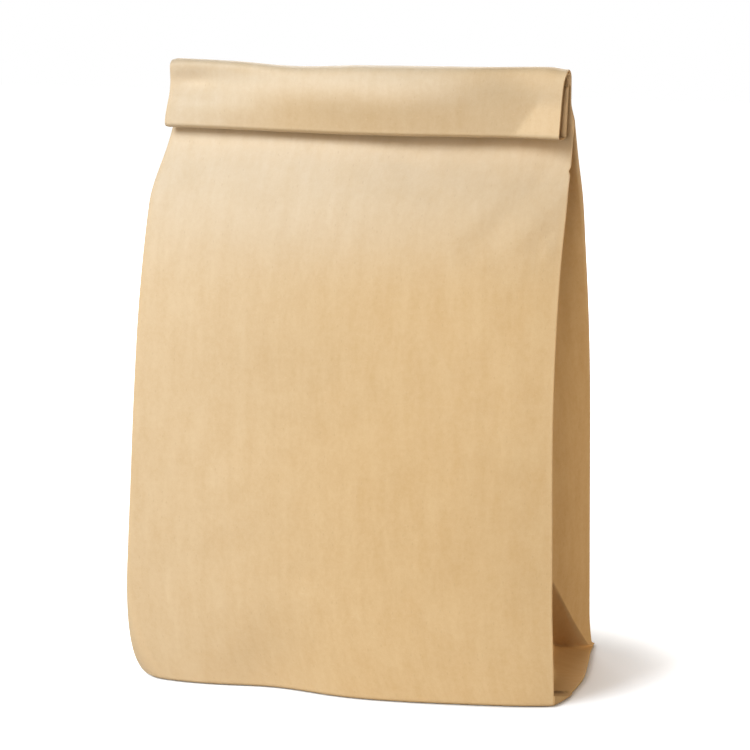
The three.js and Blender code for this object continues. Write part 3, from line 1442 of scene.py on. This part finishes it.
@dataclass(frozen=True)
class Specks:
    """Small separate specks of another colour on the flat sheet.

    Attributes:
        colour: Their colour.
        strength: How much of it shows.
        scale: How many cells there are along a metre.
        rarity: Share of the cells that stay empty.
        stretch: What the flat map is multiplied by along each axis.
        relief: How much a speck raises the paper.
        size: Radius of a speck, in cells.
    """

    colour: Colour
    strength: float
    scale: float
    rarity: float
    stretch: tuple[float, float, float]
    relief: float = 0.0
    size: float = 0.14

    def wire(self, graph: Graph, sheet: Wire) -> Wire:
        """Their mask in a material's graph.

        Args:
            graph: The material's graph.
            sheet: The flat map.

        Returns:
            1 on a speck and 0 off it.
        """
        sockets = {"Vector": graph.stretch(sheet, self.stretch), "Scale": self.scale}
        distance = graph.add("ShaderNodeTexVoronoi", {"voronoi_dimensions": "2D"}, sockets, "Distance")
        chance = graph.add("ShaderNodeSeparateColor", sockets={0: distance.other("Color")}, output=0)
        return (1.0 - (distance > self.size)) * (chance > self.rarity)


@dataclass(frozen=True)
class KraftPaper:
    """Unbleached kraft paper: long fibres along the sheet, cloudy pulp, flecks and worn folds.

    Reliefs, roughnesses and strengths are shares from 0 to 1, and relief_depth is in metres.
    """

    pale: Colour = (0.77, 0.56, 0.305)
    deep: Colour = (0.70, 0.478, 0.235)
    worn: Colour = (0.82, 0.60, 0.35)
    # Paler, less saturated paper for the painted highlight, where light falls strongest.
    highlight_pale: Colour = (0.815, 0.71, 0.565)
    highlight_deep: Colour = (0.76, 0.635, 0.46)
    # Dark colour for the painted shade.
    painted_dark: Colour = (0.19, 0.135, 0.078)
    cloud: Layer = Layer(75.0, 4.0, 0.55, 0.95, 0.5)
    mottle: Layer = Layer(420.0, 3.0, 0.55, 1.1, 0.0, (1.0, 0.8, 1.0))
    streak: Layer = Layer(170.0, 2.0, 0.5, 1.25, 0.35, (1.0, 0.2, 1.0))
    grain: Layer = Layer(1300.0, 2.0, 0.6, 0.7, 0.5, (1.0, 0.8, 1.0))
    flecks: Specks = Specks((0.42, 0.25, 0.11), 0.12, 420.0, 0.93, (1.0, 0.5, 1.0))
    shives: Specks = Specks((0.84, 0.64, 0.40), 0.15, 546.0, 0.94, (0.35, 1.0, 1.0), 0.3)
    # Strengths of the painted highlight and of the painted shade.
    highlight_strength: float = 0.75
    shade_strength: float = 0.22
    rub: float = 0.1
    grain_rub: float = 0.3
    relief: float = 0.3
    relief_depth: float = 0.00035
    roughness: float = 0.55
    cloud_rough: float = 0.15
    rub_rough: float = 0.1
    gusset_rough: float = 0.35
    specular: float = 0.35

    def material(self) -> bpy.types.Material:
        """Builds the paper's material on the sheet's flat map.

        Returns:
            The material.
        """
        material = bpy.data.materials.new("kraft_paper")
        material.use_nodes = True
        graph = Graph(material.node_tree)
        sheet = graph.add("ShaderNodeUVMap", {"uv_map": SHEET_MAP})
        crease, painted_highlight, painted_shade, gusset = map(graph.attribute, (CREASE, PAINTED_HIGHLIGHT, PAINTED_SHADE, GUSSET))
        layers = (self.cloud, self.mottle, self.streak, self.grain)
        wires = [layer.wire(graph, sheet) for layer in layers]
        cloud, _, _, grain = wires
        flecks, shives = (specks.wire(graph, sheet) for specks in (self.flecks, self.shives))

        tone: Any = NOISE_MEAN
        height: Any = shives * self.shives.relief
        for layer, wire in zip(layers, wires):
            tone = tone + (wire - NOISE_MEAN) * layer.tone
            height = height + wire * layer.relief
        colour = graph.blend(tone, rgba(self.deep), rgba(self.pale))
        # Painted highlight: the paper turns paler and less saturated where light falls strongest.
        highlighted = graph.blend(tone, rgba(self.highlight_deep), rgba(self.highlight_pale))
        colour = graph.blend(painted_highlight * self.highlight_strength, colour, highlighted)
        # Painted shade: the paper turns darker on the roll, its low edge, the belly and at the foot.
        colour = graph.blend(painted_shade * self.shade_strength, colour, rgba(self.painted_dark))
        colour = graph.blend(flecks * self.flecks.strength, colour, rgba(self.flecks.colour))
        colour = graph.blend(shives * self.shives.strength, colour, rgba(self.shives.colour))
        rubbed = crease * (self.rub + grain * self.grain_rub)
        colour = graph.blend(rubbed, colour, rgba(self.worn))

        bump = graph.add(
            "ShaderNodeBump",
            sockets={"Strength": self.relief, "Distance": self.relief_depth, "Height": height},
        )
        rough = self.roughness + (cloud - NOISE_MEAN) * self.cloud_rough
        rough = rough + rubbed * self.rub_rough + gusset * self.gusset_rough
        shader = graph.add(
            "ShaderNodeBsdfPrincipled",
            sockets={
                "Base Color": colour,
                "Roughness": rough,
                "Normal": bump,
                "Specular IOR Level": self.specular,
            },
        )
        graph.add("ShaderNodeOutputMaterial", sockets={"Surface": shader})
        return material


@dataclass(frozen=True)
class Cockle:
    """The gentle unevenness of handled paper, in metres, as a node tree that moves a mesh outward."""

    wave: float = 0.0011
    wave_size: float = 0.055
    wave_seed: tuple[float, float, float] = (3.1, 1.7, 0.4)
    ripple: float = 0.0004
    ripple_size: float = 0.016
    ripple_seed: tuple[float, float, float] = (0.6, 5.2, 2.3)

    def tree(self) -> bpy.types.NodeTree:
        """Builds the node tree with its sizes as named inputs.

        Returns:
            The tree.
        """
        tree = bpy.data.node_groups.new("cockled_paper", "GeometryNodeTree")
        face = tree.interface
        face.new_socket("Sheet", in_out="INPUT", socket_type="NodeSocketGeometry")
        sizes = ("Wave", "Wave size", "Ripple", "Ripple size")
        for name in sizes:
            face.new_socket(name, in_out="INPUT", socket_type="NodeSocketFloat")
        face.new_socket("Paper", in_out="INPUT", socket_type="NodeSocketMaterial")
        face.new_socket("Sheet", in_out="OUTPUT", socket_type="NodeSocketGeometry")
        graph = Graph(tree)
        sheet = graph.add("NodeGroupInput", output="Sheet")
        wave, wave_size, ripple, ripple_size, paper = map(sheet.other, (*sizes, "Paper"))
        slack = graph.add(
            "GeometryNodeInputNamedAttribute", {"data_type": "FLOAT"}, {"Name": SLACK}, "Attribute"
        )
        push = self.unevenness(graph, wave_size, self.wave_seed) * wave
        push = push + self.unevenness(graph, ripple_size, self.ripple_seed) * ripple
        offset = graph.add(
            "ShaderNodeVectorMath",
            {"operation": "SCALE"},
            {0: graph.add("GeometryNodeInputNormal"), "Scale": push * slack},
        )
        moved = graph.add("GeometryNodeSetPosition", sockets={"Geometry": sheet, "Offset": offset})
        real = graph.add("GeometryNodeRealizeInstances", sockets={"Geometry": moved})
        dressed = graph.add("GeometryNodeSetMaterial", sockets={"Geometry": real, "Material": paper})
        graph.add("NodeGroupOutput", sockets={0: dressed})
        return tree

    @staticmethod
    def unevenness(graph: Graph, size: Wire, seed: Sequence[float]) -> Wire:
        """Noise from about -1 to 1 with bumps of a given size.

        Args:
            graph: The node tree's graph.
            size: Length of a bump, in metres.
            seed: Where in the noise it is read.

        Returns:
            The noise value.
        """
        place = graph.add("GeometryNodeInputPosition")
        scaled = graph.add(
            "ShaderNodeVectorMath", {"operation": "SCALE"}, {0: place, "Scale": size ** -1.0}
        )
        seeded = graph.add("ShaderNodeVectorMath", {"operation": "ADD"}, {0: scaled, 1: tuple(seed)})
        return graph.noise(seeded, 1.0, 1.0) * 2.0 - 1.0

    def apply(self, mesh: bpy.types.Mesh, paper: bpy.types.Material, name: str) -> bpy.types.Object:
        """Runs the tree on a mesh and keeps the result.

        Args:
            mesh: The smooth sheet.
            paper: Its material.
            name: Name of the finished piece.

        Returns:
            The finished piece, in the scene.
        """
        smooth = bpy.data.objects.new("smooth_sheet", mesh)
        bpy.context.scene.collection.objects.link(smooth)
        modifier = smooth.modifiers.new("cockle", "NODES")
        modifier.node_group = self.tree()
        values = {
            "Wave": self.wave,
            "Wave size": self.wave_size,
            "Ripple": self.ripple,
            "Ripple size": self.ripple_size,
            "Paper": paper,
        }
        for item in modifier.node_group.interface.items_tree:
            if item.in_out == "INPUT" and item.name in values:
                modifier[item.identifier] = values[item.name]
        graph = bpy.context.evaluated_depsgraph_get()
        finished = bpy.data.meshes.new_from_object(
            smooth.evaluated_get(graph), preserve_all_data_layers=True, depsgraph=graph
        )
        bpy.data.objects.remove(smooth)
        piece = bpy.data.objects.new(name, finished)
        finished.name = name
        bpy.context.scene.collection.objects.link(piece)
        return piece


@dataclass(frozen=True)
class Lamp:
    """A square soft light, in metres and watts."""

    name: str
    place: tuple[float, float, float]
    size: float
    power: float
    colour: Colour = WHITE

    def hang(self, aim: Vector) -> None:
        """Hangs the light and turns it to a place.

        Args:
            aim: The place, in metres.
        """
        data = bpy.data.lights.new(self.name, "AREA")
        data.size = self.size
        data.energy = self.power
        data.color = self.colour
        light = bpy.data.objects.new(self.name, data)
        light.location = self.place
        light.rotation_euler = (aim - Vector(self.place)).to_track_quat("-Z", "Y").to_euler()
        bpy.context.scene.collection.objects.link(light)


@dataclass(frozen=True)
class Studio:
    """White floor, soft light and the camera, in metres and degrees."""

    aim: tuple[float, float, float] = (0.0075, 0.0, 0.1527)
    azimuth: float = 14.5
    elevation: float = 10.8
    distance: float = 1.528
    lens: float = 144.0
    ambient: float = 0.04
    ambient_tint: Colour = (1.0, 0.88, 0.76)
    floor_size: float = 6.0
    floor_height: float = -0.00015
    floor_fine: Span = (0.15, 0.085)
    floor_step: float = 0.0015
    floor_white: Colour = (0.86, 0.9, 0.95)
    floor_dim: Colour = (0.45, 0.43, 0.4)
    floor_glow: float = 0.24
    contact: Span = (0.0005, 0.0045)
    shade_centre: tuple[float, float, float] = (0.085, 0.015, 0.0)
    shade_reach: Span = (0.045, 0.115)
    lamps: tuple[Lamp, ...] = (
        Lamp("key_softbox", (-0.974, -1.39, 1.386), 0.8, 25.5, (0.94, 1.0, 1.05)),
        Lamp("high_softbox", (-0.253, -1.801, 1.2), 0.6, 4.0),
        Lamp("front_softbox", (0.146, -2.083, 0.37), 0.45, 15.5, (1.0, 0.87, 0.72)),
        Lamp("side_fill", (1.982, 0.644, 0.406), 0.8, 16.0, (1.0, 0.72, 0.41)),
        Lamp("back_softbox", (-0.3, 1.5, 1.2), 1.0, 15.0),
    )

    def build(self, rim: Array) -> None:
        """Sets up everything round the bag.

        Args:
            rim: The points on which the bag stands, in metres and in order round it.
        """
        self.camera()
        self.world()
        self.floor(rim)
        for lamp in self.lamps:
            lamp.hang(Vector(self.aim))
        bpy.context.scene.view_settings.view_transform = "Standard"

    def camera(self) -> None:
        """Places the camera."""
        azimuth, elevation = math.radians(self.azimuth), math.radians(self.elevation)
        back = Vector(
            (
                math.sin(azimuth) * math.cos(elevation),
                -math.cos(azimuth) * math.cos(elevation),
                math.sin(elevation),
            )
        )
        data = bpy.data.cameras.new("camera")
        data.lens = self.lens
        camera = bpy.data.objects.new("camera", data)
        camera.location = Vector(self.aim) + back * self.distance
        camera.rotation_euler = (-back).to_track_quat("-Z", "Y").to_euler()
        bpy.context.scene.collection.objects.link(camera)
        bpy.context.scene.camera = camera

    def world(self) -> None:
        """White where the camera, gloss or glass sees it, and a plain soft light for all else."""
        world = bpy.data.worlds.new("studio")
        world.use_nodes = True
        bpy.context.scene.world = world
        graph = Graph(world.node_tree)
        seen = self.seen(graph)
        light = graph.add(
            "ShaderNodeBackground", sockets={"Color": rgba(self.ambient_tint), "Strength": self.ambient}
        )
        white = graph.add("ShaderNodeBackground", sockets={"Color": rgba(WHITE), "Strength": 1.0})
        both = graph.add("ShaderNodeMixShader", sockets={0: seen, 1: light, 2: white})
        graph.add("ShaderNodeOutputWorld", sockets={"Surface": both})

    @staticmethod
    def seen(graph: Graph) -> Wire:
        """Finds the rays that show the background: from the camera, or by gloss or glass.

        Args:
            graph: The graph of a material or the world.

        Returns:
            1 for those rays and 0 for all others.
        """
        camera = graph.add("ShaderNodeLightPath", output="Is Camera Ray")
        rays = camera + camera.other("Is Glossy Ray") + camera.other("Is Transmission Ray")
        return graph.add("ShaderNodeMath", {"operation": "MINIMUM"}, {0: rays, 1: 1.0})

    def floor(self, rim: Array) -> None:
        """A white floor that keeps the bag's shadow and runs out into the white background.

        Args:
            rim: The points on which the bag stands, in metres and in order round it.
        """
        half = self.floor_size / 2
        x, y = np.meshgrid(
            *(
                np.concatenate([[-half], np.arange(-reach, reach, self.floor_step), [half]])
                for reach in self.floor_fine
            ),
            indexing="ij",
        )
        rows = x.shape[1]
        first = np.arange(x.shape[0] - 1)[:, None] * rows + np.arange(rows - 1)[None, :]
        faces = np.stack([first, first + rows, first + rows + 1, first + 1], axis=2).reshape(-1, 4)
        mesh = bpy.data.meshes.new("floor")
        places = np.stack([x, y, np.full_like(x, self.floor_height)], axis=2).reshape(-1, 3)
        mesh.from_pydata(places, [], faces.tolist())
        clear = ease(self.away_from(rim, x, y), *self.contact).ravel()
        mesh.attributes.new(CLEAR, "FLOAT", "POINT").data.foreach_set("value", clear.astype(np.float32))
        floor = bpy.data.objects.new("floor", mesh)
        bpy.context.scene.collection.objects.link(floor)
        mesh.materials.append(self.floor_finish())

    @staticmethod
    def away_from(rim: Array, x: Array, y: Array) -> Array:
        """How far places on the floor lie from a closed line.

        Args:
            rim: The line's points, in order.
            x: The places' X.
            y: The places' Y.

        Returns:
            The distance of each place from the nearest stretch of the line.
        """
        away = np.full(x.shape, np.inf)
        for start, step in zip(rim, np.roll(rim, -1, axis=0) - rim):
            to_x, to_y = x - start[0], y - start[1]
            length = max(math.hypot(step[0], step[1]), TINY)
            share = np.clip((to_x * step[0] + to_y * step[1]) / length**2, 0.0, 1.0)
            away = np.minimum(away, np.hypot(to_x - share * step[0], to_y - share * step[1]))
        return away

    def floor_finish(self) -> bpy.types.Material:
        """White board, part of whose light is its own where the camera sees it.

        Returns:
            The material.
        """
        material = bpy.data.materials.new("white_floor")
        material.use_nodes = True
        graph = Graph(material.node_tree)
        place = graph.add("ShaderNodeTexCoord", output="Object")
        far = graph.add(
            "ShaderNodeVectorMath", {"operation": "DISTANCE"}, {0: place, 1: self.shade_centre}, "Value"
        )
        near, beyond = self.shade_reach
        out = graph.add(
            "ShaderNodeMapRange",
            {"interpolation_type": "SMOOTHSTEP"},
            {"Value": far, "From Min": near, "From Max": beyond, "To Min": self.floor_glow, "To Max": 1.0},
        )
        seen = self.seen(graph)
        tone = graph.blend(seen, rgba(self.floor_dim), rgba(self.floor_white))
        glow = graph.blend(out * seen * graph.attribute(CLEAR), rgba(BLACK), rgba(WHITE))
        board = graph.add(
            "ShaderNodeBsdfPrincipled",
            sockets={
                "Base Color": tone,
                "Roughness": 1.0,
                "Specular IOR Level": 0.0,
                "Emission Color": glow,
                "Emission Strength": 1.0,
            },
        )
        graph.add("ShaderNodeOutputMaterial", sockets={"Surface": board})
        return material


def main() -> None:
    """Builds the bag and the studio round it."""
    logging.basicConfig(level=logging.INFO, format="%(name)s: %(message)s")
    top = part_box(NODE)[1].z / METRE
    bag = PaperBag(SheetSizes(standing_height=top))
    piece = Cockle().apply(bag.mesh("bag_sheet"), KraftPaper().material(), "folded_bag")
    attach(piece, BODY)
    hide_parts(NODE)
    LOG.info("%s: %d points, %d faces", piece.name, len(piece.data.vertices), len(piece.data.polygons))
    studio = Studio()
    studio.build(bag.rim())
    LOG.info("studio with %d lamps", len(studio.lamps))


if __name__ == "__main__":
    main()
